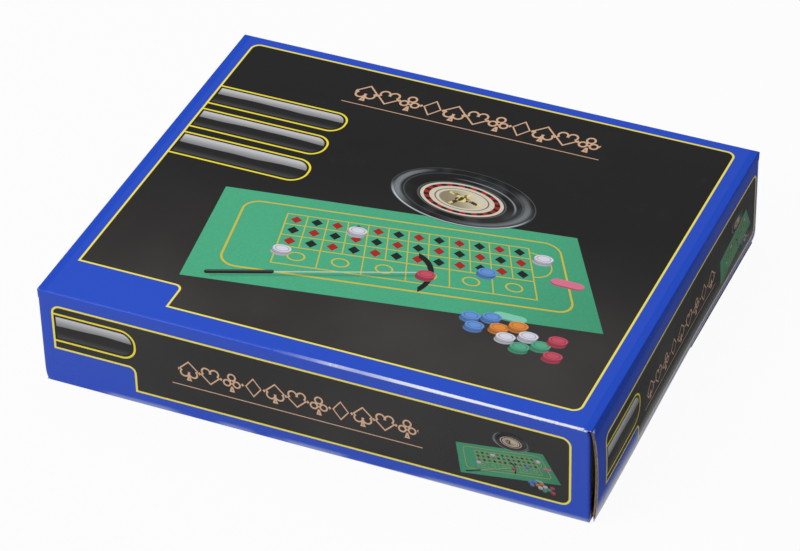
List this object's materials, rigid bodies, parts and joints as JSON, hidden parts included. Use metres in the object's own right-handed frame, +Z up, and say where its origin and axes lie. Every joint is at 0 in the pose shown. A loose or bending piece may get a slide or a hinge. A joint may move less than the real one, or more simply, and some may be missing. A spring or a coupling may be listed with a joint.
{
  "type": "roulette set case",
  "caption": "Printed corrugated tuck-end carton on a flat base, holding a roulette wheel in a folded insert with chips, plaques, rake and folded green cloth.",
  "frame": {"origin": "bottom centre of the closed carton", "axes": "+X along the long front edge towards the right end, -Y towards the front, +Z up"},
  "size_m": [0.32, 0.264, 0.063],
  "materials": {
    "printed_board": "gloss laminated offset print on corrugated board, raw kraft edges",
    "kraft_board": "plain brown corrugated board",
    "black_plastic": "glossy moulded",
    "cream_plastic": "semi-gloss moulded",
    "ring_print": "printed ring, red and black fields",
    "gold_plating": "bright gold metallised",
    "steel": "polished",
    "brass": "turned",
    "white_plastic": "polished ball",
    "green_felt": "thin felt, gold printed lines",
    "chip_blue": "moulded",
    "chip_orange": "moulded",
    "chip_white": "moulded",
    "chip_green": "moulded",
    "chip_red": "moulded",
    "chip_pink": "moulded",
    "chip_mint": "moulded"
  },
  "bodies": {
    "carton": {"carton_top": "printed_board", "carton_front": "printed_board", "carton_bottom": "printed_board", "carton_back": "printed_board", "carton_glue_flap": "printed_board", "insert_deck": "kraft_board", "insert_front_wall": "kraft_board", "insert_back_wall": "kraft_board", "insert_right_wall": "kraft_board", "insert_left_wall": "kraft_board", "bay_divider": "kraft_board", "bay_floor": "kraft_board", "wheel_bowl": "black_plastic", "ball_deflectors": "black_plastic", "spindle": "steel", "roulette_balls": "white_plastic", "layout_cloth": "green_felt", "rake_handle": "black_plastic", "rake_shaft": "steel", "rake_head": "black_plastic", "chips_blue": "chip_blue", "chips_orange": "chip_orange", "chips_white": "chip_white", "chips_green": "chip_green", "chips_red": "chip_red", "plaques_pink": "chip_pink", "plaques_mint": "chip_mint"},
    "wheel_rotor": {"bearing_cup": "brass", "rotor": "cream_plastic", "number_ring": "ring_print", "pocket_ring": "cream_plastic", "turret": "gold_plating", "turret_arms": "gold_plating", "turret_finial": "gold_plating"},
    "right_end_panel": {"right_end_panel": "printed_board"},
    "right_tuck_flap": {"right_tuck_flap": "printed_board"},
    "right_front_dust_flap": {"right_front_dust_flap": "printed_board"},
    "right_back_dust_flap": {"right_back_dust_flap": "printed_board"},
    "left_end_panel": {"left_end_panel": "printed_board"},
    "left_tuck_flap": {"left_tuck_flap": "printed_board"},
    "left_front_dust_flap": {"left_front_dust_flap": "printed_board"},
    "left_back_dust_flap": {"left_back_dust_flap": "printed_board"}
  },
  "joints": [
    {"name": "right_end_hinge", "type": "hinge", "parent": "carton", "child": "right_end_panel", "pos_m": [0.15953, 0, 0.06253], "axis": [0, -1, 0], "range_deg": [0, 155]},
    {"name": "right_tuck_fold", "type": "hinge", "parent": "right_end_panel", "child": "right_tuck_flap", "pos_m": [0.1572, 0, 0.0064], "axis": [0, 1, 0], "range_deg": [0, 87]},
    {"name": "right_front_dust_fold", "type": "hinge", "parent": "carton", "child": "right_front_dust_flap", "pos_m": [0.15633, -0.13153, 0.0315], "axis": [0, 0, -1], "range_deg": [0, 84]},
    {"name": "right_back_dust_fold", "type": "hinge", "parent": "carton", "child": "right_back_dust_flap", "pos_m": [0.15633, 0.13153, 0.0315], "axis": [0, 0, 1], "range_deg": [0, 84]},
    {"name": "left_end_hinge", "type": "hinge", "parent": "carton", "child": "left_end_panel", "pos_m": [-0.15953, 0, 0.06253], "axis": [0, 1, 0], "range_deg": [0, 155]},
    {"name": "left_tuck_fold", "type": "hinge", "parent": "left_end_panel", "child": "left_tuck_flap", "pos_m": [-0.1572, 0, 0.0064], "axis": [0, -1, 0], "range_deg": [0, 87]},
    {"name": "left_front_dust_fold", "type": "hinge", "parent": "carton", "child": "left_front_dust_flap", "pos_m": [-0.15633, -0.13153, 0.0315], "axis": [0, 0, 1], "range_deg": [0, 84]},
    {"name": "left_back_dust_fold", "type": "hinge", "parent": "carton", "child": "left_back_dust_flap", "pos_m": [-0.15633, 0.13153, 0.0315], "axis": [0, 0, -1], "range_deg": [0, 84]},
    {"name": "rotor_spin", "type": "hinge", "parent": "carton", "child": "wheel_rotor", "pos_m": [-0.0245, -0.0014, 0.0028], "axis": [0, 0, 1], "continuous": true}
  ],
  "couplings": [
    {"joint": "right_tuck_fold", "follows": "right_end_hinge", "ratio": 0.56},
    {"joint": "right_front_dust_fold", "follows": "right_end_hinge", "ratio": 0.54},
    {"joint": "right_back_dust_fold", "follows": "right_end_hinge", "ratio": 0.54},
    {"joint": "left_tuck_fold", "follows": "left_end_hinge", "ratio": 0.56},
    {"joint": "left_front_dust_fold", "follows": "left_end_hinge", "ratio": 0.54},
    {"joint": "left_back_dust_fold", "follows": "left_end_hinge", "ratio": 0.54}
  ]
}
